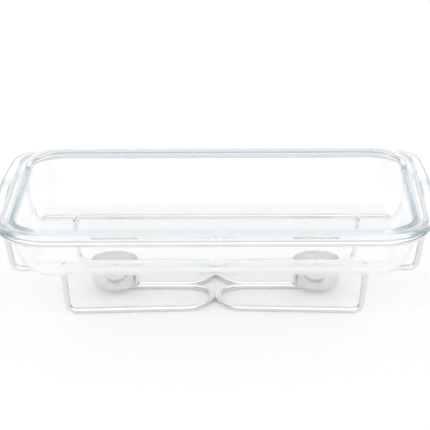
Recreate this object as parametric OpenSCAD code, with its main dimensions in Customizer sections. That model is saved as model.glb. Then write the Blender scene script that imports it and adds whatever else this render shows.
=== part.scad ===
// Glass baking dish on a bent wire warming stand, with two tealights under it.
// X runs along the dish, Y from front to rear, Z up. The origin is on the table under the middle.

/* [Glass dish] */
// Length of the rim, without the handles
dish_length = 345; // [300:1:400]
// Width of the rim
dish_width = 225; // [195:1:260]
// Height from the base of the dish to the top of its rim
dish_height = 48; // [42:1:60]
// Thickness of the side walls
wall_thickness = 6; // [4:0.5:7]
// Thickness of the floor
floor_thickness = 5.5; // [4:0.5:8]
// Angle by which the walls lean outwards
wall_angle = 15; // [8:1:20]
// Outer radius between the base and the walls
base_round = 28; // [20:1:32]
// Plan radius at the corners of the flat base
base_corner_radius = 1; // [1:0.5:12]

/* [Rim] */
// Thickness of the rim
rim_thickness = 6; // [5.5:0.5:8]
// Distance by which the rim stands out past the wall
rim_overhang = 7.5; // [6.5:0.5:11]
// Radius of the outer edges of the rim
rim_round = 2.5; // [1:0.25:2.5]
// Radius of the inner edge of the rim
rim_inner_round = 2.5; // [2:0.5:4]
// Radius of the hollow between the rim and the wall
under_rim_round = 3; // [1:0.5:3.5]

/* [Handles] */
// Distance by which a handle stands out past the end of the rim
handle_reach = 9.5; // [7:0.5:16]
// Plan radius of the long outer edge of a handle
handle_radius = 800; // [500:10:1200]
// Plan radius at the ends of a handle
handle_end_radius = 34; // [28:1:38]
// Distance of the centres of the end radii in from the long sides of the rim
handle_end_inset = 39; // [37:0.5:50]
// Thickness of the edge bead of a handle
handle_thickness = 5; // [4:0.5:5.5]
// Width of the edge bead of a handle
handle_bead = 3; // [2:0.5:4.5]
// Length of the grip hollow in each face of a handle
hollow_length = 66; // [40:1:100]
// Depth of the grip hollow
hollow_depth = 1.4; // [0.5:0.1:1.7]

/* [Wire stand] */
// Diameter of the wire
wire_d = 5; // [4:0.5:6]
// Height of the base of the dish above the table
base_height = 43; // [38:1:60]
// Distance of the leg frames in from the long sides of the rim
frame_inset = 57; // [50:1:64]
// Distance of the leg tops in from the ends of the rim
leg_inset = 48; // [38:1:60]
// Distance by which the feet stand further in than the leg tops
leg_lean = 4; // [0:0.5:10]
// Distance by which a floor run closes in on the middle between its foot and its loop
floor_run_taper = 6; // [2:0.5:12]
// Straight stretch at the tip of a loop
loop_flat = 1; // [0.5:0.5:10]
// Distance by which the inner runs reach past the centres of the cups
run_overlap = 12; // [4:1:18]
// Distance of the hanger bends in from the ends of the rim
hanger_inset = 8; // [5:0.5:14]
// Bend radius of the legs and the hangers
bend_radius = 7; // [5:0.5:10]
// Distance of the rail in from the long sides of the rim
rail_inset = 0.5; // [0:0.25:2]
// Distance by which the rail stands out past the ends of the rim
rail_overrun = 1.5; // [0:0.25:3]

/* [Cups] */
// Distance of the cup centres in from the ends of the rim
cup_inset = 87; // [75:1:105]
// Height of a cup
cup_height = 19; // [14:1:24]
// Sheet thickness of a cup
cup_sheet = 0.6; // [0.4:0.1:1.2]
// Outer radius at the bottom edge of a cup
cup_bottom_round = 2; // [1.5:0.25:4]

/* [Tealights] */
// Diameter of a tealight
tealight_d = 38; // [36:0.5:40]
// Height of the shell of a tealight
shell_height = 15; // [12:0.5:18]
// Sheet thickness of the shell
shell_sheet = 0.3; // [0.2:0.05:0.6]
// Depth of the wax
wax_depth = 11.5; // [8:0.5:11.5]
// Diameter of the wick
wick_d = 1.6; // [1:0.1:2.5]
// Length of the wick that stands out of the wax
wick_free_length = 6; // [3:0.5:8]
// Diameter of the wick base
wick_base_d = 13; // [8:0.5:20]
// Sheet thickness of the wick base and of its neck
wick_base_sheet = 0.5; // [0.3:0.1:1]
// Height of the neck that grips the wick
wick_neck_height = 4; // [2:0.5:6]

/* [Clearances] */
// Gap between the dish and the wires under it
seat_gap = 0.3; // [0.2:0.05:0.5]
// Gap at a weld
weld_gap = 0.1; // [0.05:0.05:0.2]
// Gap between wires that lie side by side
side_gap = 0.6; // [0.4:0.1:1]
// Gap round a tealight in its cup
tealight_gap = 0.4; // [0.2:0.1:1]
// Gap under a tealight in its cup
tealight_seat_gap = 0.1; // [0.05:0.05:0.3]
// Gap between the pieces of a tealight
wax_gap = 0.1; // [0.05:0.05:0.2]
// Height of the mark that a bending tool leaves at the ends of each bend
bend_mark = 0.05; // [0.03:0.01:0.08]

/* [Hidden] */
$fn = 48;
arc_step = 12;
arc_spread = 600;
cut_margin = 1;

wire_r = wire_d / 2;
half_length = dish_length / 2;
half_width = dish_width / 2;

// Levels
rim_top_z = base_height + dish_height;
rim_under_z = rim_top_z - rim_thickness;
rail_z = rim_under_z - seat_gap - wire_r;
bar_z = base_height - seat_gap - wire_r;
floor_z = wire_r + bend_mark;
cup_z = floor_z + wire_r + weld_gap;
shell_z = cup_z + cup_sheet + tealight_seat_gap;
wax_z = shell_z + shell_sheet + wax_gap;

// Dish section, measured out from the rim's edge and up from the base
wall_run = dish_height - rim_thickness;
wall_foot_x = -rim_overhang - wall_run * tan(wall_angle);
wall_across = wall_thickness / cos(wall_angle);
inner_top_x = -rim_overhang - wall_across + rim_thickness * tan(wall_angle);
inner_foot_x = wall_foot_x - wall_across + floor_thickness * tan(wall_angle);
base_inset = -wall_foot_x + base_round * tan(45 - wall_angle / 2);
rim_corner_radius = base_inset + base_corner_radius;
corner_x = half_length - rim_corner_radius;
corner_y = half_width - rim_corner_radius;

// Handle outline
handle_centre_x = half_length + handle_reach - handle_radius;
handle_end_y = half_width - handle_end_inset;
handle_end_angle = asin(handle_end_y / (handle_radius - handle_end_radius));
handle_end_x = handle_centre_x + (handle_radius - handle_end_radius) * cos(handle_end_angle);
handle_mid_z = rim_top_z - rim_thickness / 2;

// Wire places
frame_y = half_width - frame_inset;
leg_top_x = half_length - leg_inset;
leg_foot_x = leg_top_x - leg_lean;
leg_angle = 90 + atan(leg_lean / (bar_z - floor_z));
leg_bend_x = leg_top_x - bend_radius * tan(leg_angle / 2);
loop_tip_x = wire_r + side_gap / 2;
loop_y = frame_y - floor_run_taper;
run_y = wire_r + side_gap / 2;
cup_x = half_length - cup_inset;
run_end_x = cup_x + run_overlap;
loop_radius = (loop_y - run_y - loop_flat) / 2;
rail_x = half_length + rail_overrun - wire_r;
rail_y = half_width - rail_inset - wire_r;
rail_radius = rim_corner_radius - rail_inset - wire_r;
hanger_foot_x = half_length - hanger_inset;
// Where the round of the leg bend meets the lower side of a hanger
hanger_end_x = leg_bend_x + 2 * sqrt(bend_radius * wire_r) + weld_gap;

// Cups and tealights; the bottom edges nest in one another
cup_inner_r = tealight_d / 2 + tealight_gap;
cup_r = cup_inner_r + cup_sheet;
cup_inner_round = cup_bottom_round - cup_sheet;
shell_r = tealight_d / 2;
shell_inner_r = shell_r - shell_sheet;
shell_round = cup_inner_round + tealight_seat_gap;
shell_inner_round = max(0, shell_round - shell_sheet);
wax_r = shell_inner_r - wax_gap;
wax_round = max(0, shell_inner_round - wax_gap);
wick_base_r = wick_base_d / 2;
wick_hole_r = wick_d / 2 + wax_gap;
wick_neck_r = wick_hole_r + wick_base_sheet;

// Points of an outline whose corners are [x, y, radius]; the round corners become arcs
function unit(v) = v / norm(v);
function flat(p) = [p[0], p[1]];
function corner_arc(a, b, c) =
    let (into = unit(flat(b) - flat(a)), out = unit(flat(c) - flat(b)),
         bend = acos(max(-1, min(1, into * out))),
         side = sign(cross(into, out)),
         start = flat(b) - into * b[2] * tan(bend / 2),
         centre = start + side * b[2] * [-into.y, into.x],
         steps = ceil(bend / arc_step))
    b[2] == 0 ? [flat(b)] :
    [for (i = [0 : steps])
        let (turn = side * bend * i / steps, arm = start - centre)
        centre + [arm.x * cos(turn) - arm.y * sin(turn), arm.x * sin(turn) + arm.y * cos(turn)]];
function rounded(corners) =
    let (n = len(corners))
    [for (i = [0 : n - 1]) each corner_arc(corners[(i + n - 1) % n], corners[i], corners[(i + 1) % n])];
// Points of an arc; an open one leaves its last point to the arc that follows it
function arc(centre, radius, from, to, open = false) =
    let (steps = max(4, ceil(abs(to - from) * radius / arc_spread)))
    [for (i = [0 : steps - (open ? 1 : 0)])
        let (angle = from + (to - from) * i / steps)
        centre + radius * [cos(angle), sin(angle)]];

// Section of one side of the dish, from the corner axis outwards
function dish_section() =
    let (edge = rim_corner_radius)
    rounded([
        [0, 0, 0],
        [edge + wall_foot_x, 0, base_round],
        [edge - rim_overhang, wall_run, under_rim_round],
        [edge, wall_run, rim_round],
        [edge, dish_height, rim_round],
        [edge + inner_top_x, dish_height, rim_inner_round],
        [edge + inner_foot_x, floor_thickness, base_round - wall_thickness],
        [0, floor_thickness, 0]
    ]);

// Plan of a handle, drawn in by inset from its outer edge
function handle_outline(inset) =
    let (end_r = handle_end_radius - inset,
         root_r = rim_corner_radius - rim_overhang / 2,
         root_angle = atan2(handle_end_y + end_r - corner_y, handle_end_x - corner_x))
    concat(
        arc([handle_end_x, -handle_end_y], end_r, -90, -handle_end_angle, open = true),
        arc([handle_centre_x, 0], handle_radius - inset, -handle_end_angle, handle_end_angle, open = true),
        arc([handle_end_x, handle_end_y], end_r, handle_end_angle, 90),
        arc([corner_x, corner_y], root_r, root_angle, 0),
        arc([corner_x, -corner_y], root_r, 0, -root_angle)
    );

// Bent wires: the path's corners, each with its own bend radius
function turn_at(p, i) = acos(unit(p[i] - p[i - 1]) * unit(p[i + 1] - p[i]));
function setback(p, radii, i) = i == 0 || i == len(p) - 1 ? 0 : radii[i] * tan(turn_at(p, i) / 2);
function bend_side(p, i) =
    let (into = unit(p[i] - p[i - 1]), out = unit(p[i + 1] - p[i]))
    unit(out - into * (out * into));
function turned_side(p, i) =
    let (into = unit(p[i] - p[i - 1]), out = unit(p[i + 1] - p[i]))
    unit(out * (into * out) - into);
function roll_before(p, i) =
    let (along = unit(p[i] - p[i - 1]), last = turned_side(p, i - 1), next = bend_side(p, i))
    atan2(cross(last, next) * along, last * next);

// One straight and the bend after it; the rest of the wire follows in the turned frame
module wire_from(p, radii, i) {
    straight = norm(p[i] - p[i - 1]) - setback(p, radii, i - 1) - setback(p, radii, i);
    cylinder(r = wire_r, h = straight);
    if (i < len(p) - 1)
        translate([0, 0, straight]) {
            turn = turn_at(p, i);
            sphere(r = wire_r + bend_mark);
            translate([radii[i], 0, 0]) {
                rotate([90, 0, 180])
                    rotate_extrude(angle = turn)
                        translate([radii[i], 0]) circle(r = wire_r);
                rotate([0, turn, 0])
                    translate([-radii[i], 0, 0])
                        rotate([0, 0, i < len(p) - 2 ? roll_before(p, i + 1) : 0]) {
                            sphere(r = wire_r + bend_mark);
                            wire_from(p, radii, i + 1);
                        }
            }
        }
}

module bent_wire(p, radii) {
    z = unit(p[1] - p[0]);
    x = bend_side(p, 1);
    y = cross(z, x);
    multmatrix([[x.x, y.x, z.x, p[0].x], [x.y, y.y, z.y, p[0].y], [x.z, y.z, z.z, p[0].z]])
        wire_from(p, radii, 1);
}

module to_left() {
    mirror([1, 0, 0]) children();
}

module to_rear() {
    mirror([0, 1, 0]) children();
}

module dish_side(run) {
    rotate([90, 0, 0])
        translate([0, 0, -run])
            linear_extrude(2 * run) polygon(dish_section());
}

module handle() {
    difference() {
        translate([0, 0, handle_mid_z - handle_thickness / 2])
            linear_extrude(handle_thickness) polygon(handle_outline(0));
        for (face = [-1, 1])
            translate([0, 0, handle_mid_z + face * (handle_thickness - hollow_depth + cut_margin) / 2])
                linear_extrude(hollow_depth + cut_margin, center = true)
                    intersection() {
                        polygon(handle_outline(handle_bead));
                        translate([half_length, 0]) square(hollow_length, center = true);
                    }
    }
}

module glass_dish() {
    color("lightcyan", 0.6) {
        translate([0, 0, base_height]) {
            translate([-corner_x, -corner_y, 0])
                cube([2 * corner_x, 2 * corner_y, floor_thickness]);
            for (turn = [0, 180])
                rotate(turn) {
                    translate([corner_x, 0, 0]) dish_side(corner_y);
                    translate([0, corner_y, 0]) rotate(90) dish_side(corner_x);
                    translate([corner_x, corner_y, 0])
                        rotate_extrude(angle = 90) polygon(dish_section());
                    translate([-corner_x, corner_y, 0]) rotate(90)
                        rotate_extrude(angle = 90) polygon(dish_section());
                }
        }
        handle();
        to_left() handle();
    }
}

module top_rail() {
    start = [rail_x, 0, rail_z];
    corners = [for (c = [[1, 1], [-1, 1], [-1, -1], [1, -1]]) [c.x * rail_x, c.y * rail_y, rail_z]];
    color("silver") {
        bent_wire(concat([start], corners, [start]), [for (i = [0 : 5]) rail_radius]);
        // Butt weld that closes the ring
        translate(start) rotate([90, 0, 0]) sphere(r = wire_r + bend_mark);
    }
}

module leg_frame() {
    right = [
        [leg_top_x, -frame_y, bar_z],
        [leg_foot_x, -frame_y, floor_z],
        [loop_tip_x, -loop_y, floor_z],
        [loop_tip_x, -run_y, floor_z],
        [run_end_x, -run_y, floor_z]
    ];
    right_radii = [bend_radius, bend_radius, loop_radius, loop_radius, 0];
    left = [for (i = [len(right) - 1 : -1 : 0]) [-right[i].x, right[i].y, right[i].z]];
    left_radii = [for (i = [len(right) - 1 : -1 : 0]) right_radii[i]];
    color("silver") bent_wire(concat(left, right), concat(left_radii, right_radii));
}

module hanger() {
    color("silver")
        bent_wire([
            [rail_x, -frame_y, rail_z - wire_r - weld_gap],
            [hanger_foot_x, -frame_y, bar_z],
            [hanger_end_x, -frame_y, bar_z]
        ], [0, bend_radius, 0]);
}

module cup() {
    color("gainsboro")
        translate([cup_x, 0, cup_z])
            rotate_extrude()
                polygon(rounded([
                    [0, 0, 0],
                    [cup_r, 0, cup_bottom_round],
                    [cup_r, cup_height, 0],
                    [cup_inner_r, cup_height, 0],
                    [cup_inner_r, cup_sheet, cup_inner_round],
                    [0, cup_sheet, 0]
                ]));
}

module tealight_shell() {
    color("lightgray")
        translate([cup_x, 0, shell_z])
            rotate_extrude()
                polygon(rounded([
                    [0, 0, 0],
                    [shell_r, 0, shell_round],
                    [shell_r, shell_height, 0],
                    [shell_inner_r, shell_height, 0],
                    [shell_inner_r, shell_sheet, shell_inner_round],
                    [0, shell_sheet, 0]
                ]));
}

module tealight_wax() {
    color("ivory")
        translate([cup_x, 0, wax_z])
            rotate_extrude()
                polygon(rounded([
                    [wick_base_r + wax_gap, 0, 0],
                    [wax_r, 0, wax_round],
                    [wax_r, wax_depth, 0],
                    [wick_hole_r, wax_depth, 0],
                    [wick_hole_r, wick_neck_height + wax_gap, 0],
                    [wick_neck_r + wax_gap, wick_neck_height + wax_gap, 0],
                    [wick_neck_r + wax_gap, wick_base_sheet + wax_gap, 0],
                    [wick_base_r + wax_gap, wick_base_sheet + wax_gap, 0]
                ]));
}

module wick_base() {
    color("darkgray")
        translate([cup_x, 0, wax_z])
            difference() {
                union() {
                    cylinder(r = wick_base_r, h = wick_base_sheet);
                    cylinder(r = wick_neck_r, h = wick_neck_height);
                }
                translate([0, 0, wick_base_sheet]) cylinder(r = wick_hole_r, h = wick_neck_height);
            }
}

module tealight_wick() {
    color("linen")
        translate([cup_x, 0, wax_z + wick_base_sheet + wax_gap])
            cylinder(d = wick_d, h = wax_depth + wick_free_length - wick_base_sheet - wax_gap);
}

glass_dish();
top_rail();
leg_frame();  // front_leg_frame
to_rear() leg_frame();  // rear_leg_frame
to_left() hanger();  // front_left_hanger
hanger();  // front_right_hanger
to_rear() to_left() hanger();  // rear_left_hanger
to_rear() hanger();  // rear_right_hanger
to_left() cup();  // left_cup
cup();  // right_cup
to_left() tealight_shell();  // left_tealight_shell
to_left() tealight_wax();  // left_tealight_wax
to_left() tealight_wick();  // left_tealight_wick
to_left() wick_base();  // left_wick_base
tealight_shell();  // right_tealight_shell
tealight_wax();  // right_tealight_wax
tealight_wick();  // right_tealight_wick
wick_base();  // right_wick_base
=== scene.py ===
import bpy
import bmesh
from math import asin, ceil, cos, hypot, pi, radians, sin, sqrt, tan
from mathutils import Matrix, Vector


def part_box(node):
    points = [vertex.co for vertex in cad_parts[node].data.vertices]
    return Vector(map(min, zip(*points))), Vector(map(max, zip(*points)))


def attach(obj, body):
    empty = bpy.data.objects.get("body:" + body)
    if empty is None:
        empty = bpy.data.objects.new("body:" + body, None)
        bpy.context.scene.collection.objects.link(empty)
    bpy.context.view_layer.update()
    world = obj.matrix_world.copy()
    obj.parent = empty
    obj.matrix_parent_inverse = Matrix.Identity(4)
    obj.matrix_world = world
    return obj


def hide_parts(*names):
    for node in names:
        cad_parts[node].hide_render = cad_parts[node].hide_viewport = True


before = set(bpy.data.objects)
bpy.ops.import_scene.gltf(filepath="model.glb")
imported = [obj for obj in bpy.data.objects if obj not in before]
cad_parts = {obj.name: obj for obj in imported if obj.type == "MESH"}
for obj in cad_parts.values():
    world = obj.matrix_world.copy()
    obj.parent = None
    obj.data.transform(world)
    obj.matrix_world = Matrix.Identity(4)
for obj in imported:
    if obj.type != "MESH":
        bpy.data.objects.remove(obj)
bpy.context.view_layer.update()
scene = bpy.context.scene
scene.view_settings.view_transform = "Standard"
print("frame loaded:", len(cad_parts), "nodes")


# Camera, as the photograph stands
cameraView = {
    "lens": 159.3,
    "sensor": 36.0,
    "away": 1.504,
    "height": 0.620,
    "turn": 1.05,
    "tilt": 20.22,
    "roll": -0.53,
    "farClip": 50.0,
}


def placeCamera(view):
    data = bpy.data.cameras.new("photo_camera")
    data.lens = view["lens"]
    data.sensor_width = view["sensor"]
    data.clip_end = view["farClip"]
    camera = bpy.data.objects.new("photo_camera", data)
    scene.collection.objects.link(camera)
    heading = Matrix.Rotation(radians(view["turn"]), 4, "Z")
    tripod = heading @ Matrix.Translation((0.0, -view["away"], view["height"]))
    pitch = Matrix.Rotation(radians(90.0 - view["tilt"]), 4, "X")
    lean = Matrix.Rotation(radians(view["roll"]), 4, "Z")
    camera.matrix_world = tripod @ pitch @ lean
    scene.camera = camera


placeCamera(cameraView)

# Light runs far inside the rim before it comes out again
lightBounces = 64
scene.cycles.max_bounces = lightBounces
scene.cycles.transmission_bounces = lightBounces
scene.cycles.glossy_bounces = lightBounces
scene.cycles.blur_glossy = 0.0
scene.cycles.denoising_input_passes = "RGB"
scene.cycles.sample_clamp_indirect = 3.0
print("camera placed")


# Node helpers; most of a noise's values lie within its span
noiseSpan = (0.3, 0.7)


def newMaterial(name):
    material = bpy.data.materials.new(name)
    material.use_nodes = True
    tree = material.node_tree
    return material, tree, tree.nodes["Principled BSDF"]


def addNode(tree, kind, **values):
    node = tree.nodes.new(kind)
    for key, value in values.items():
        if hasattr(node, key):
            setattr(node, key, value)
        else:
            node.inputs[key.replace("_", " ")].default_value = value
    return node


def objectCoords(tree, scale=(1.0, 1.0, 1.0)):
    coords = addNode(tree, "ShaderNodeTexCoord")
    mapping = addNode(tree, "ShaderNodeMapping", Scale=scale)
    tree.links.new(coords.outputs["Object"], mapping.inputs["Vector"])
    return mapping.outputs["Vector"]


def noiseOn(tree, vector, size, detail=3.0):
    noise = addNode(tree, "ShaderNodeTexNoise", Scale=1.0 / size, Detail=detail)
    tree.links.new(vector, noise.inputs["Vector"])
    return noise.outputs["Fac"]


def spread(tree, value, low, high, fromLow=noiseSpan[0], fromHigh=noiseSpan[1]):
    ramp = addNode(tree, "ShaderNodeMapRange",
                   From_Min=fromLow, From_Max=fromHigh, To_Min=low, To_Max=high)
    tree.links.new(value, ramp.inputs["Value"])
    return ramp.outputs["Result"]


def tint(tree, value, low, high):
    ramp = addNode(tree, "ShaderNodeValToRGB")
    for stop, place, color in zip(ramp.color_ramp.elements, noiseSpan, (low, high)):
        stop.position = place
        stop.color = (*color, 1.0)
    tree.links.new(value, ramp.inputs["Fac"])
    return ramp.outputs["Color"]


# The mix node's colour sockets come after those for numbers and vectors
def mixColor(tree, share, first, second):
    mix = addNode(tree, "ShaderNodeMix", data_type="RGBA")
    tree.links.new(share, mix.inputs[0])
    tree.links.new(first, mix.inputs[6])
    mix.inputs[7].default_value = (*second, 1.0)
    return mix.outputs[2]


def bumpFrom(tree, height, depth):
    bump = addNode(tree, "ShaderNodeBump", Distance=depth, Strength=1.0)
    tree.links.new(height, bump.inputs["Height"])
    return bump.outputs["Normal"]


# Glass: clear, with a faint tint in its body, and painted shade, a darker blue-grey colour, where the
# mesh's edge weight marks the rim's edges, the handle's tip and a band of the rear wall
glass = {
    "ior": 1.49,
    "paintedEdgeShade": (0.38, 0.47, 0.51),
    "bodyTint": (0.20, 0.48, 0.61),
    "bodyDensity": 1.0,
    "clear": (1.0, 1.0, 1.0),
    "smear": (0.985, 0.995, 0.997),
    "smearSize": 0.02,
    "polish": (0.0, 0.012),
    "waveSize": 0.05,
    "waveDepth": 0.00006,
}


def makeGlass(look):
    material, tree, shader = newMaterial("pressed_glass")
    vector = objectCoords(tree)
    shader.inputs["Transmission Weight"].default_value = 1.0
    shader.inputs["IOR"].default_value = look["ior"]
    smear = noiseOn(tree, vector, look["smearSize"], detail=5.0)
    # Painted shade: the mesh's edge weight mixes the colour towards the painted edge shade
    edge = addNode(tree, "ShaderNodeAttribute", attribute_name="edge")
    face = tint(tree, smear, look["smear"], look["clear"])
    tree.links.new(mixColor(tree, edge.outputs["Fac"], face, look["paintedEdgeShade"]), shader.inputs["Base Color"])
    tree.links.new(spread(tree, smear, *look["polish"]), shader.inputs["Roughness"])
    wave = noiseOn(tree, vector, look["waveSize"], detail=1.0)
    tree.links.new(bumpFrom(tree, wave, look["waveDepth"]), shader.inputs["Normal"])
    body = addNode(tree, "ShaderNodeVolumeAbsorption", Density=look["bodyDensity"])
    body.inputs["Color"].default_value = (*look["bodyTint"], 1.0)
    tree.links.new(body.outputs["Volume"], tree.nodes["Material Output"].inputs["Volume"])
    return material


# Metals
plating = {
    "low": (0.75, 0.75, 0.755),
    "high": (0.81, 0.81, 0.81),
    "cloudSize": 0.012,
    "polish": (0.05, 0.10),
    "grainSize": 0.0012,
    "grainDepth": 0.00001,
}
cupSheet = {
    "low": (0.75, 0.75, 0.755),
    "high": (0.83, 0.83, 0.835),
    "cloudSize": 0.009,
    "polish": (0.06, 0.14),
    "grainSize": 0.0016,
    "grainDepth": 0.00002,
    "stretch": (0.06, 0.06, 1.0),
}
foil = {
    "low": (0.74, 0.745, 0.75),
    "high": (0.84, 0.845, 0.85),
    "cloudSize": 0.006,
    "polish": (0.22, 0.36),
    "grainSize": 0.0025,
    "grainDepth": 0.00006,
    "stretch": (1.0, 1.0, 0.12),
}
tinplate = {
    "low": (0.56, 0.56, 0.565),
    "high": (0.70, 0.70, 0.705),
    "cloudSize": 0.004,
    "polish": (0.25, 0.42),
    "grainSize": 0.0015,
    "grainDepth": 0.00002,
}


# Metal with a cloudy tone and a fine grain; stretch draws the grain out
def makeMetal(name, look, stretch=(1.0, 1.0, 1.0)):
    material, tree, shader = newMaterial(name)
    shader.inputs["Metallic"].default_value = 1.0
    cloud = noiseOn(tree, objectCoords(tree), look["cloudSize"], detail=4.0)
    grain = noiseOn(tree, objectCoords(tree, stretch), look["grainSize"])
    tree.links.new(tint(tree, cloud, look["low"], look["high"]), shader.inputs["Base Color"])
    tree.links.new(spread(tree, grain, *look["polish"]), shader.inputs["Roughness"])
    tree.links.new(bumpFrom(tree, grain, look["grainDepth"]), shader.inputs["Normal"])
    return material


# Wax and wick
wax = {
    "low": (0.84, 0.835, 0.815),
    "high": (0.92, 0.915, 0.90),
    "polish": (0.32, 0.5),
    "glow": 0.35,
    "glowRadius": (0.004, 0.003, 0.002),
    "skinSize": 0.004,
    "skinDepth": 0.00012,
}
cotton = {
    "low": (0.70, 0.66, 0.56),
    "high": (0.88, 0.85, 0.77),
    "polish": (0.7, 0.9),
    "strandScale": 185.0,
    "strandTwist": 1.5,
    "strandDepth": 0.00015,
}


def makeWax(look):
    material, tree, shader = newMaterial("white_wax")
    skin = noiseOn(tree, objectCoords(tree), look["skinSize"], detail=5.0)
    tree.links.new(tint(tree, skin, look["low"], look["high"]), shader.inputs["Base Color"])
    tree.links.new(spread(tree, skin, *look["polish"]), shader.inputs["Roughness"])
    tree.links.new(bumpFrom(tree, skin, look["skinDepth"]), shader.inputs["Normal"])
    shader.inputs["Subsurface Weight"].default_value = look["glow"]
    shader.inputs["Subsurface Radius"].default_value = look["glowRadius"]
    shader.inputs["Subsurface Scale"].default_value = 1.0
    return material


def makeCotton(look):
    material, tree, shader = newMaterial("cotton_braid")
    strand = addNode(tree, "ShaderNodeTexWave", bands_direction="DIAGONAL",
                     Scale=look["strandScale"], Distortion=look["strandTwist"])
    tree.links.new(objectCoords(tree), strand.inputs["Vector"])
    braid = strand.outputs["Fac"]
    tree.links.new(tint(tree, braid, look["low"], look["high"]), shader.inputs["Base Color"])
    tree.links.new(spread(tree, braid, *look["polish"]), shader.inputs["Roughness"])
    tree.links.new(bumpFrom(tree, braid, look["strandDepth"]), shader.inputs["Normal"])
    return material


glassFinish = makeGlass(glass)
platingFinish = makeMetal("bright_plating", plating)
cupFinish = makeMetal("drawn_steel", cupSheet, cupSheet["stretch"])
foilFinish = makeMetal("thin_foil", foil, foil["stretch"])
tinplateFinish = makeMetal("stamped_tinplate", tinplate)
waxFinish = makeWax(wax)
cottonFinish = makeCotton(cotton)
print("finishes made")


# Mesh helpers
weldDistance = 0.000004
sliverLength = 0.000001
partOrigin = (0.0, 0.0, 0.0)
upright = (0.0, 0.0, 1.0)


def finishPiece(bm, name, finish, body, node, sharpAngle=50.0):
    bmesh.ops.remove_doubles(bm, verts=bm.verts, dist=weldDistance)
    bmesh.ops.dissolve_degenerate(bm, edges=bm.edges, dist=sliverLength)
    bmesh.ops.recalc_face_normals(bm, faces=bm.faces)
    for face in bm.faces:
        face.smooth = True
    mesh = bpy.data.meshes.new(name)
    bm.to_mesh(mesh)
    bm.free()
    mesh.set_sharp_from_angle(angle=radians(sharpAngle))
    mesh.materials.append(finish)
    piece = bpy.data.objects.new(name, mesh)
    scene.collection.objects.link(piece)
    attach(piece, body)
    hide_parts(node)
    return piece


def vertsOf(geom):
    return [item for item in geom if isinstance(item, bmesh.types.BMVert)]


def edgesOf(geom):
    return [item for item in geom if isinstance(item, bmesh.types.BMEdge)]


def lineTo(bm, vert, place):
    grown = bmesh.ops.extrude_vert_indiv(bm, verts=[vert])["verts"][0]
    grown.co = place
    return grown


# Draws a section in the XZ plane; a corner is (x, z), or (x, z, radius, steps) for a spun vertex
def traceSection(bm, corners):
    points = [Vector((c[0], 0.0, c[1])) for c in corners]
    vert = bm.verts.new(points[0])
    for i in range(1, len(corners)):
        if len(corners[i]) == 2:
            vert = lineTo(bm, vert, points[i])
            continue
        radius, steps = corners[i][2:]
        into = (points[i] - points[i - 1]).normalized()
        out = (points[i + 1] - points[i]).normalized()
        turn = into.angle(out)
        vert = lineTo(bm, vert, points[i] - into * radius * tan(turn / 2))
        axis = into.cross(out).normalized()
        centre = vert.co + axis.cross(into) * radius
        arc = bmesh.ops.spin(bm, geom=[vert], cent=centre, axis=axis, angle=turn, steps=steps,
                             use_duplicate=False)
        vert = vertsOf(arc["geom_last"])[0]


def smoothStep(low, high, value):
    t = min(1.0, max(0.0, (value - low) / (high - low)))
    return t * t * (3.0 - 2.0 * t)


# Glass dish
dish = {
    "wall": 0.006,
    "floor": 0.0055,
    "wallAngle": 15.0,
    "baseRound": 0.028,
    "baseCorner": 0.001,
    "rim": 0.006,
    "overhang": 0.0075,
    "rimRound": 0.0025,
    "rimInnerRound": 0.0009,
    # Weights and extent of painted shade on the rim's inner and outer edges and on a band of the rear wall;
    # the band's drops also place corners of the section
    "innerEdgeShade": 0.7,
    "outerEdgeShade": 0.15,
    "outerEdgeDrop": 0.0011,
    "band": 0.75,
    "bandDrop": (0.0045, 0.006),
    "bandWay": (0.7, 0.98),
    "underRimRound": 0.003,
    "roundSteps": 20,
    "edgeSteps": 40,
    "filletSteps": 10,
    "cornerSteps": 32,
    "sideSteps": 48,
}
handle = {
    "reach": 0.0095,
    "radius": 0.800,
    "endRadius": 0.034,
    "endInset": 0.039,
    "thickness": 0.004,
    "tipRound": 0.0018,
    "tipShare": 0.35,
    "bead": 0.003,
    "hollowLength": 0.066,
    "hollowDepth": 0.0004,
    "hollowEase": 0.0018,
    "hollowRunout": 0.026,
    "mergeReach": 0.003,
}
dishLow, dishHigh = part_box("glass_dish")
dishLean = tan(radians(dish["wallAngle"]))
dishDepth = dishHigh.z - dishLow.z
halfLength = dishHigh.x - handle["reach"]
halfWidth = dishHigh.y
wallFoot = dish["overhang"] + (dishDepth - dish["rim"]) * dishLean
baseSetback = dish["baseRound"] * tan(radians(45.0 - dish["wallAngle"] / 2))
rimCorner = wallFoot + baseSetback + dish["baseCorner"]
innerDrop = dish["rimInnerRound"] * (1.0 - sin(radians(dish["wallAngle"])))
bandFoot = sum(dish["bandDrop"]) / 2
cornerX = halfLength - rimCorner
cornerY = halfWidth - rimCorner


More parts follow.
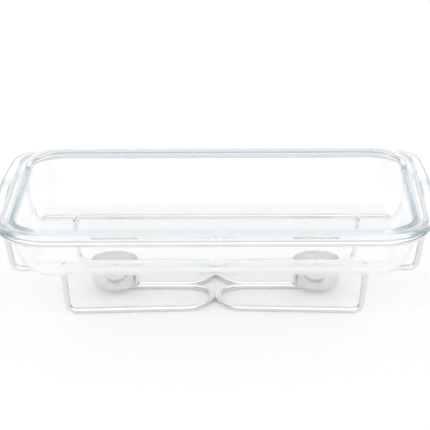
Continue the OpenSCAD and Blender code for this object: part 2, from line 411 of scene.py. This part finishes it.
# A quarter of the dish: one side's section, spun round a corner and drawn out to the two middle planes
def traceQuarter(bm):
    across = dish["wall"] / cos(radians(dish["wallAngle"]))
    innerTop = dish["overhang"] + across - dish["rim"] * dishLean
    innerFoot = wallFoot + across - dish["floor"] * dishLean
    underRim = dishDepth - dish["rim"]
    traceSection(bm, [
        (0.0, 0.0),
        (rimCorner - wallFoot, 0.0, dish["baseRound"], dish["roundSteps"]),
        (rimCorner - dish["overhang"], underRim, dish["underRimRound"], dish["filletSteps"]),
        (rimCorner, underRim, dish["rimRound"], dish["edgeSteps"]),
        (rimCorner, dishDepth, dish["rimRound"], dish["edgeSteps"]),
        (rimCorner - innerTop, dishDepth, dish["rimInnerRound"], dish["filletSteps"]),
        *[(rimCorner - innerTop - drop * dishLean, dishDepth - drop) for drop in dish["bandDrop"]],
        (rimCorner - innerFoot, dish["floor"], dish["baseRound"] - dish["wall"], dish["roundSteps"]),
        (0.0, dish["floor"]),
    ])
    bmesh.ops.translate(bm, verts=bm.verts, vec=(cornerX, cornerY, dishLow.z))
    section = list(bm.edges)
    sweep = bmesh.ops.spin(bm, geom=section, cent=(cornerX, cornerY, 0.0), axis=upright,
                           angle=pi / 2, steps=dish["cornerSteps"], use_duplicate=False)
    side = edgesOf(sweep["geom_last"])
    bmesh.ops.spin(bm, geom=section, cent=partOrigin, axis=upright, angle=0.0,
                   dvec=(0.0, -cornerY / dish["sideSteps"], 0.0), steps=dish["sideSteps"],
                   use_duplicate=False)
    drawToMiddle(bm, side)

    # The floor between the corner axes
    drawToMiddle(bm, [e for e in bm.edges if isFloorEdge(e)])


def drawToMiddle(bm, edges):
    drawn = bmesh.ops.extrude_edge_only(bm, edges=edges)
    bmesh.ops.translate(bm, verts=vertsOf(drawn["geom"]), vec=(-cornerX, 0.0, 0.0))
    bmesh.ops.remove_doubles(bm, verts=bm.verts, dist=weldDistance)


def isFloorEdge(edge):
    a, b = (v.co for v in edge.verts)
    onAxis = all(abs(p.x - cornerX) < weldDistance and p.y < cornerY + weldDistance for p in (a, b))
    return onAxis and abs(a.z - b.z) < weldDistance


# Painted shade on edges of the rim: a colour weight stands in for the darker look they have because the eye
# looks along the glass there
def paintRimShade(bm):
    edge = bm.verts.layers.float.new("edge")
    for vert in bm.verts:
        out = hypot(max(0.0, vert.co.x - cornerX), max(0.0, vert.co.y - cornerY))
        drop = dishHigh.z - vert.co.z
        if out < rimCorner - dish["overhang"] and weldDistance < drop < innerDrop - weldDistance:
            vert[edge] = dish["innerEdgeShade"]
        elif out > rimCorner - dish["rimRound"] and weldDistance < drop < dish["outerEdgeDrop"]:
            vert[edge] = dish["outerEdgeShade"]


# Painted shade on a band of the rear wall, behind which the eye looks into the rim
def paintBandShade(bm):
    edge = bm.verts.layers.float["edge"]
    for vert in bm.verts:
        offX = max(0.0, abs(vert.co.x) - cornerX)
        offY = vert.co.y - cornerY
        out = hypot(offX, offY)
        drop = dishHigh.z - vert.co.z
        onWall = offY > 0.0 and out < rimCorner - dish["overhang"]
        if onWall and innerDrop - weldDistance < drop < bandFoot:
            vert[edge] = dish["band"] * smoothStep(*dish["bandWay"], offY / out)


# How far a circle round the start lies from it in one direction of the plan
def runToCircle(start, way, centre, radius):
    offX, offY = centre[0] - start[0], centre[1] - start[1]
    along = offX * way[0] + offY * way[1]
    aside = offX * way[1] - offY * way[0]
    return along + sqrt(radius * radius - aside * aside)


# Handle: the outer band of the rim is drawn out to the handle's outline
def drawHandle(bm):
    bowX = halfLength + handle["reach"] - handle["radius"]
    endRun = handle["radius"] - handle["endRadius"]
    endY = halfWidth - handle["endInset"]
    endX = bowX + endRun * cos(asin(endY / endRun))
    middle = dishHigh.z - dish["rim"] / 2
    half = handle["thickness"] / 2
    flat = dish["rim"] / 2 - dish["rimRound"]
    rootAngle = asin((half - flat) / dish["rimRound"])
    root = dish["rimRound"] * (1.0 - cos(rootAngle))
    tip = handle["tipRound"]
    faceShare = 1.0 - handle["tipShare"]
    ease = handle["hollowEase"]

    # Distance from the rim's edge out to the handle's outline, square to the edge: its bow, then its end
    def reachAt(way, y):
        start = (cornerX, min(y, cornerY))
        run = runToCircle(start, way, (bowX, 0.0), handle["radius"])
        if start[1] + run * way[1] > endY * handle["radius"] / endRun:
            run = runToCircle(start, way, (endX, endY), handle["endRadius"])
        return run - rimCorner

    edge = bm.verts.layers.float["edge"]
    for vert in bm.verts:
        offX = vert.co.x - cornerX
        offY = max(0.0, vert.co.y - cornerY)
        out = hypot(offX, offY)
        height = abs(vert.co.z - middle)
        if offX <= 0.0 or out < rimCorner - root - weldDistance or height > half:
            continue
        way = (offX / out, offY / out)
        reach = reachAt(way, vert.co.y)
        if reach <= 0.0:
            continue
        blend = smoothStep(0.0, handle["mergeReach"], reach)

        # Share of the way from the handle's root over its face and round its tip
        share = 1.0 - asin(min(1.0, max(0.0, height - flat) / dish["rimRound"])) / rootAngle
        if share < faceShare:
            beyond = -root + (reach + root - tip) * share / faceShare
            level = half
        else:
            bend = (share - faceShare) / handle["tipShare"] * pi / 2
            beyond = reach - tip + tip * sin(bend)
            level = half - tip * (1.0 - cos(bend))
            # Painted shade round the handle's tip, faded in with the handle
            vert[edge] = blend
        dip = smoothStep(0.0, ease, beyond)
        dip *= smoothStep(0.0, ease, reach - handle["bead"] - beyond + ease)
        dip *= smoothStep(0.0, handle["hollowRunout"], handle["hollowLength"] / 2 - vert.co.y)
        level -= handle["hollowDepth"] * dip
        newOut = out + (rimCorner + beyond - out) * blend
        newHeight = height + (level - height) * blend
        foot = Vector((cornerX, cornerY if offY > 0.0 else vert.co.y, middle))
        sign = 1.0 if vert.co.z >= middle else -1.0
        vert.co = foot + Vector((way[0] * newOut, way[1] * newOut, sign * newHeight))


def makeDish():
    bm = bmesh.new()
    traceQuarter(bm)
    paintRimShade(bm)
    drawHandle(bm)
    for axis in ("X", "Y"):
        bmesh.ops.mirror(bm, geom=bm.verts[:] + bm.edges[:] + bm.faces[:], matrix=Matrix.Identity(4),
                         merge_dist=weldDistance, axis=axis)
    paintBandShade(bm)
    piece = finishPiece(bm, "dish_glass", glassFinish, "dish", "glass_dish", sharpAngle=80.0)
    flats = piece.modifiers.new("flat_faces", "WEIGHTED_NORMAL")
    flats.keep_sharp = True
    return piece


glassDish = makeDish()
print("dish:", len(glassDish.data.polygons), "faces")


# Wires
wire = {
    "radius": 0.0025,
    "sides": 32,
    "bendSteps": 14,
    "leastSteps": 6,
    "endRound": 0.0005,
    "endSteps": 3,
    "bendRadius": 0.007,
    "weldGap": 0.0001,
}


# Carries a ring of the wire's section along the corners and spins it round each bend
def bendWire(bm, corners, radii, closed=False):
    points = [Vector(c) for c in corners]
    ring = bmesh.ops.create_circle(bm, segments=wire["sides"], radius=wire["radius"])["verts"]
    facing = (points[1] - points[0]).to_track_quat("Z", "Y").to_matrix().to_4x4()
    bmesh.ops.transform(bm, matrix=Matrix.Translation(points[0]) @ facing, verts=ring)
    startEdges = edges = list({e for v in ring for e in v.link_edges})
    here = points[0]
    for i in range(1, len(points)):
        into = (points[i] - points[i - 1]).normalized()
        last = i == len(points) - 1
        there = points[i]
        if not last:
            out = (points[i + 1] - points[i]).normalized()
            turn = into.angle(out)
            setback = radii[i] * tan(turn / 2)
            there = points[i] - into * setback
        grown = bmesh.ops.extrude_edge_only(bm, edges=edges)["geom"]
        ends = set(vertsOf(grown))
        bmesh.ops.translate(bm, verts=list(ends), vec=there - here)
        edges = [e for e in edgesOf(grown) if all(v in ends for v in e.verts)]
        if not last:
            axis = into.cross(out).normalized()
            centre = there + axis.cross(into) * radii[i]
            steps = max(wire["leastSteps"], ceil(wire["bendSteps"] * turn / (pi / 2)))
            swept = bmesh.ops.spin(bm, geom=edges, cent=centre, axis=axis, angle=turn, steps=steps,
                                   use_duplicate=False)
            edges = edgesOf(swept["geom_last"])
            here = points[i] + out * setback
    if not closed:
        for rim in (startEdges, edges):
            cap = bmesh.ops.contextual_create(bm, geom=rim)["faces"][0]
            bmesh.ops.bevel(bm, geom=cap.edges[:], offset=wire["endRound"], offset_type="OFFSET",
                            segments=wire["endSteps"], profile=0.5, affect="EDGES", material=-1)


def mirrored(corners, x=1.0, y=1.0):
    return [(c[0] * x, c[1] * y, c[2]) for c in corners]


railLow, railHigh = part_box("top_rail")
railX = railHigh.x - wire["radius"]
railY = railHigh.y - wire["radius"]
railZ = (railLow.z + railHigh.z) / 2


def makeRail():
    start = (railX, 0.0, railZ)
    bends = [(x * railX, y * railY, railZ) for x, y in ((1, 1), (-1, 1), (-1, -1), (1, -1))]
    corners = [start] + bends + [start]
    bm = bmesh.new()
    bendWire(bm, corners, [rimCorner - (halfWidth - railY)] * len(corners), closed=True)
    finishPiece(bm, "rail_wire", platingFinish, "stand", "top_rail")


# Bends of the stand that no box gives
stand = {
    "legTopX": 0.1245,
    "legFootX": 0.1205,
    "frameY": 0.0555,
    "loopY": 0.0495,
    "loopTipX": 0.0028,
    "runY": 0.0028,
    "runEndX": 0.0975,
    "loopRadius": 0.02285,
    "barDrop": 0.0028,
    "floorZ": 0.00255,
    "hangerFootX": 0.1645,
    "hangerEndX": 0.1252,
}
barZ = dishLow.z - stand["barDrop"]


def makeFrame(side, y):
    right = [
        (stand["legTopX"], -stand["frameY"], barZ),
        (stand["legFootX"], -stand["frameY"], stand["floorZ"]),
        (stand["loopTipX"], -stand["loopY"], stand["floorZ"]),
        (stand["loopTipX"], -stand["runY"], stand["floorZ"]),
        (stand["runEndX"], -stand["runY"], stand["floorZ"]),
    ]
    radii = [wire["bendRadius"], wire["bendRadius"], stand["loopRadius"], stand["loopRadius"], 0.0]
    corners = mirrored(right, x=-1.0)[::-1] + right
    bm = bmesh.new()
    bendWire(bm, mirrored(corners, y=y), radii[::-1] + radii)
    finishPiece(bm, side + "_frame_wire", platingFinish, "stand", side + "_leg_frame")


def makeHanger(name, x, y):
    corners = [
        (railX, -stand["frameY"], railZ - wire["radius"] - wire["weldGap"]),
        (stand["hangerFootX"], -stand["frameY"], barZ),
        (stand["hangerEndX"], -stand["frameY"], barZ),
    ]
    bm = bmesh.new()
    bendWire(bm, mirrored(corners, x, y), [0.0, wire["bendRadius"], 0.0])
    finishPiece(bm, name + "_hanger_wire", platingFinish, "stand", name + "_hanger")


makeRail()
for side, y in (("front", 1.0), ("rear", -1.0)):
    makeFrame(side, y)
    for hand, x in (("left", -1.0), ("right", 1.0)):
        makeHanger(side + "_" + hand, x, y)
print("wires bent")


# Turned pieces: a section spun full round an upright axis
turnSteps = 96


def turnPiece(name, x, corners, finish, body, node, steps=turnSteps):
    bm = bmesh.new()
    traceSection(bm, corners)
    bmesh.ops.spin(bm, geom=bm.edges[:], cent=partOrigin, axis=upright, angle=2 * pi, steps=steps,
                   use_merge=True, use_duplicate=False)
    bmesh.ops.translate(bm, verts=bm.verts, vec=(x, 0.0, 0.0))
    finishPiece(bm, name, finish, body, node)


cup = {
    "sheet": 0.0006,
    "bottomRound": 0.002,
    "bottomSteps": 10,
    "innerSteps": 8,
    "lip": 0.00025,
    "lipSteps": 4,
}
tealight = {
    "shellSheet": 0.0003,
    "shellRound": 0.0015,
    "shellSteps": 8,
    "shellLip": 0.00012,
    "lipSteps": 3,
    "waxRound": 0.0011,
    "waxSteps": 6,
    "waxEdge": 0.0004,
    "poolEdge": 0.004,
    "poolRound": 0.006,
    "poolDip": 0.0006,
    "wickDip": 0.0002,
    "wickRadius": 0.0008,
    "wickFoot": 0.0002,
    "wickTop": 0.0005,
    "wickSwell": 0.001,
    "wickSides": 24,
    "baseSides": 48,
    "baseSheet": 0.0005,
    "baseEdge": 0.0001,
    "baseFillet": 0.0003,
    "neckRadius": 0.0014,
    "neckHeight": 0.004,
    "edgeSteps": 2,
    "softSteps": 4,
    "gap": 0.0001,
}


def boxOf(node):
    low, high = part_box(node)
    return low.z, high.z, (low.x + high.x) / 2, (high.x - low.x) / 2


def makeCup(hand):
    low, high, x, outer = boxOf(hand + "_cup")
    inner = outer - cup["sheet"]
    turnPiece(hand + "_cup_sheet", x, [
        (0.0, low),
        (outer, low, cup["bottomRound"], cup["bottomSteps"]),
        (outer, high, cup["lip"], cup["lipSteps"]),
        (inner, high, cup["lip"], cup["lipSteps"]),
        (inner, low + cup["sheet"], cup["bottomRound"] - cup["sheet"], cup["innerSteps"]),
        (0.0, low + cup["sheet"]),
    ], cupFinish, "stand", hand + "_cup")


def makeShell(hand, body):
    low, high, x, outer = boxOf(body + "_shell")
    inner = outer - tealight["shellSheet"]
    floor = low + tealight["shellSheet"]
    turnPiece(hand + "_foil_shell", x, [
        (0.0, low),
        (outer, low, tealight["shellRound"], tealight["shellSteps"]),
        (outer, high, tealight["shellLip"], tealight["lipSteps"]),
        (inner, high, tealight["shellLip"], tealight["lipSteps"]),
        (inner, floor, tealight["shellRound"] - tealight["shellSheet"], tealight["shellSteps"]),
        (0.0, floor),
    ], foilFinish, body, body + "_shell")


def makeWaxFill(hand, body):
    low, high, x, outer = boxOf(body + "_wax")
    hole = tealight["neckRadius"] + tealight["gap"]
    holeTop = low + tealight["neckHeight"] + tealight["gap"]
    pool = high - tealight["poolDip"]
    soft = tealight["softSteps"]
    turnPiece(hand + "_wax_fill", x, [
        (0.0, holeTop),
        (hole, holeTop),
        (hole, low),
        (outer, low, tealight["waxRound"], tealight["waxSteps"]),
        (outer, high, tealight["waxEdge"], soft),
        (outer - tealight["poolEdge"], pool, tealight["poolRound"], soft),
        (tealight["wickRadius"] + tealight["wickSwell"], pool, tealight["wickRadius"], soft),
        (0.0, high - tealight["wickDip"]),
    ], waxFinish, body, body + "_wax")


def makeWick(hand, body):
    low, high, x, radius = boxOf(body + "_wick")
    turnPiece(hand + "_cotton_wick", x, [
        (0.0, low),
        (radius, low, tealight["wickFoot"], tealight["edgeSteps"]),
        (radius, high, tealight["wickTop"], tealight["softSteps"]),
        (0.0, high),
    ], cottonFinish, body, body + "_wick", steps=tealight["wickSides"])


def makeWickBase(hand, body):
    low, high, x, outer = boxOf(hand + "_wick_base")
    sheet = low + tealight["baseSheet"]
    bore = tealight["wickRadius"] + tealight["gap"]
    edge = (tealight["baseEdge"], tealight["edgeSteps"])
    turnPiece(hand + "_tin_base", x, [
        (0.0, low),
        (outer, low, *edge),
        (outer, sheet, *edge),
        (tealight["neckRadius"], sheet, tealight["baseFillet"], tealight["softSteps"]),
        (tealight["neckRadius"], high, *edge),
        (bore, high, *edge),
        (bore, sheet),
        (0.0, sheet),
    ], tinplateFinish, body, hand + "_wick_base", steps=tealight["baseSides"])


for hand in ("left", "right"):
    makeCup(hand)
    for makePart in (makeShell, makeWaxFill, makeWick, makeWickBase):
        makePart(hand, hand + "_tealight")
print("cups and tealights turned")


# Stage helpers; a ray's depth counts its bounces, and the cut parts none from one
depthCut = 0.5


def mathOn(tree, operation, first, second):
    node = addNode(tree, "ShaderNodeMath", operation=operation)
    for socket, value in zip(node.inputs, (first, second)):
        if isinstance(value, float):
            socket.default_value = value
        else:
            tree.links.new(value, socket)
    return node.outputs[0]


def mixOn(tree, share, first, second):
    node = addNode(tree, "ShaderNodeMix", data_type="FLOAT")
    for socket, value in (("Factor", share), ("A", first), ("B", second)):
        tree.links.new(value, node.inputs[socket])
    return node.outputs["Result"]


# 1 for a ray that shows the stage, straight, mirrored or through glass; 0 for one that lights a surface
def seenRay(tree, rays):
    seen = rays.outputs["Is Camera Ray"]
    for kind in ("Is Glossy Ray", "Is Transmission Ray"):
        seen = mathOn(tree, "MAXIMUM", seen, rays.outputs[kind])
    unscattered = mathOn(tree, "LESS_THAN", rays.outputs["Diffuse Depth"], depthCut)
    return mathOn(tree, "MULTIPLY", seen, unscattered)


# Floor: pale paper, lifted towards white where it is seen, and more where wires behind glass mirror it
paper = {
    "size": 4.0,
    "cells": 4,
    "color": (0.9, 0.9, 0.9),
    "lift": 0.14,
    "wireLift": 0.15,
}


def makePaper():
    material = bpy.data.materials.new("pale_floor")
    material.use_nodes = True
    tree = material.node_tree
    tree.nodes.clear()
    matt = addNode(tree, "ShaderNodeBsdfDiffuse", Color=(*paper["color"], 1.0))
    lift = addNode(tree, "ShaderNodeEmission")
    rays = addNode(tree, "ShaderNodeLightPath")
    behindGlass = mathOn(tree, "GREATER_THAN", rays.outputs["Transmission Depth"], depthCut)
    inWires = mathOn(tree, "MULTIPLY", behindGlass, rays.outputs["Is Reflection Ray"])
    glow = mathOn(tree, "ADD", mathOn(tree, "MULTIPLY", inWires, paper["wireLift"]), paper["lift"])
    tree.links.new(mathOn(tree, "MULTIPLY", seenRay(tree, rays), glow), lift.inputs["Strength"])
    both = addNode(tree, "ShaderNodeAddShader")
    tree.links.new(matt.outputs[0], both.inputs[0])
    tree.links.new(lift.outputs[0], both.inputs[1])
    output = addNode(tree, "ShaderNodeOutputMaterial")
    tree.links.new(both.outputs[0], output.inputs["Surface"])
    return material


def makeFloor():
    bm = bmesh.new()
    bmesh.ops.create_grid(bm, x_segments=paper["cells"], y_segments=paper["cells"], size=paper["size"])
    mesh = bpy.data.meshes.new("studio_floor")
    bm.to_mesh(mesh)
    bm.free()
    mesh.materials.append(makePaper())
    floor = bpy.data.objects.new("studio_floor", mesh)
    scene.collection.objects.link(floor)


# Sky: one level for light, one for what metal mirrors and one for what shows through glass
# A pair holds the ends of a ramp along X, Y or Z
sky = {
    "wallLight": 1.25,
    "topLight": 0.6,
    "topLightStart": (0.70, 0.85),
    "glassShade": 0.14,
    "metalWall": 1.1,
    "metalSide": 0.9,
    "metalSideStart": (0.58, 0.82),
    "metalSideTop": (0.15, 0.4),
    "metalTop": 1.55,
    "metalTopStart": (0.25, 0.50),
    "glassRear": 1.0,
    "glassRound": 0.72,
    "glassRearStart": (0.5, 0.1),
    "glassTopStart": (0.5, 0.7),
    "glassFront": 1.7,
    "glassMiddle": 0.85,
    "glassFrontWay": (-0.35, -0.05),
    "glassBack": 1.2,
    "glassBackWay": (0.35, 0.55),
    "glassSide": 1.3,
    "glassSideWay": (0.2, 0.4),
    "rearDim": 0.25,
    "rearDimFoot": (0.02, 0.12),
    "rearDimTop": (0.55, 0.75),
    "rearDimWay": (0.0, 0.3),
}


# Light on the floor and the wax comes more from the walls than from above, and glass holds some of it back
def skyLight(tree, way, rays):
    light = spread(tree, way["Z"], sky["wallLight"], sky["topLight"], *sky["topLightStart"])
    shade = mathOn(tree, "MULTIPLY", rays.outputs["Is Transmission Ray"], sky["glassShade"])
    return mathOn(tree, "MULTIPLY", light, mathOn(tree, "SUBTRACT", 1.0, shade))


# Metal mirrors pale walls and a bright ceiling, with dark sides near the ground
def skyOnMetal(tree, way, aside):
    walls = spread(tree, way["Z"], sky["metalWall"], sky["metalTop"], *sky["metalTopStart"])
    sides = spread(tree, aside, 0.0, sky["metalSide"], *sky["metalSideStart"])
    sides = mathOn(tree, "MULTIPLY", sides, spread(tree, way["Z"], 1.0, 0.0, *sky["metalSideTop"]))
    return mathOn(tree, "SUBTRACT", walls, sides)


# Glass shows grey walls that are white only low at the rear, and a ceiling with a dim middle
def skyOnGlass(tree, way, aside):
    walls = spread(tree, way["Y"], sky["glassRear"], sky["glassRound"], *sky["glassRearStart"])
    ahead = spread(tree, way["Y"], sky["glassFront"], sky["glassMiddle"], *sky["glassFrontWay"])
    behind = spread(tree, way["Y"], 0.0, sky["glassBack"], *sky["glassBackWay"])
    beside = spread(tree, aside, 0.0, sky["glassSide"], *sky["glassSideWay"])
    ceiling = mathOn(tree, "MAXIMUM", mathOn(tree, "MAXIMUM", ahead, behind), beside)
    ceiling = mathOn(tree, "MULTIPLY", ceiling, spread(tree, way["Z"], 0.0, 1.0, *sky["glassTopStart"]))
    dim = spread(tree, way["Y"], 0.0, sky["rearDim"], *sky["rearDimWay"])
    for edge, low, high in (("rearDimFoot", 0.0, 1.0), ("rearDimTop", 1.0, 0.0)):
        dim = mathOn(tree, "MULTIPLY", dim, spread(tree, way["Z"], low, high, *sky[edge]))
    level = mathOn(tree, "MAXIMUM", walls, ceiling)
    return mathOn(tree, "MULTIPLY", level, mathOn(tree, "SUBTRACT", 1.0, dim))


def makeSky():
    world = bpy.data.worlds.new("soft_studio")
    world.use_nodes = True
    scene.world = world
    tree = world.node_tree
    rays = addNode(tree, "ShaderNodeLightPath")
    split = addNode(tree, "ShaderNodeSeparateXYZ")
    tree.links.new(addNode(tree, "ShaderNodeTexCoord").outputs["Generated"], split.inputs["Vector"])
    way = split.outputs
    aside = mathOn(tree, "ABSOLUTE", way["X"], 0.0)
    light = skyLight(tree, way, rays)
    onMetal = skyOnMetal(tree, way, aside)
    onGlass = skyOnGlass(tree, way, aside)
    seen = mixOn(tree, rays.outputs["Is Transmission Ray"], onMetal, onGlass)
    seen = mathOn(tree, "MAXIMUM", seen, rays.outputs["Is Camera Ray"])
    level = mixOn(tree, seenRay(tree, rays), light, seen)
    back = tree.nodes["Background"]
    back.inputs["Color"].default_value = (1.0, 1.0, 1.0, 1.0)
    tree.links.new(level, back.inputs["Strength"])


makeFloor()
makeSky()
print("stage set")
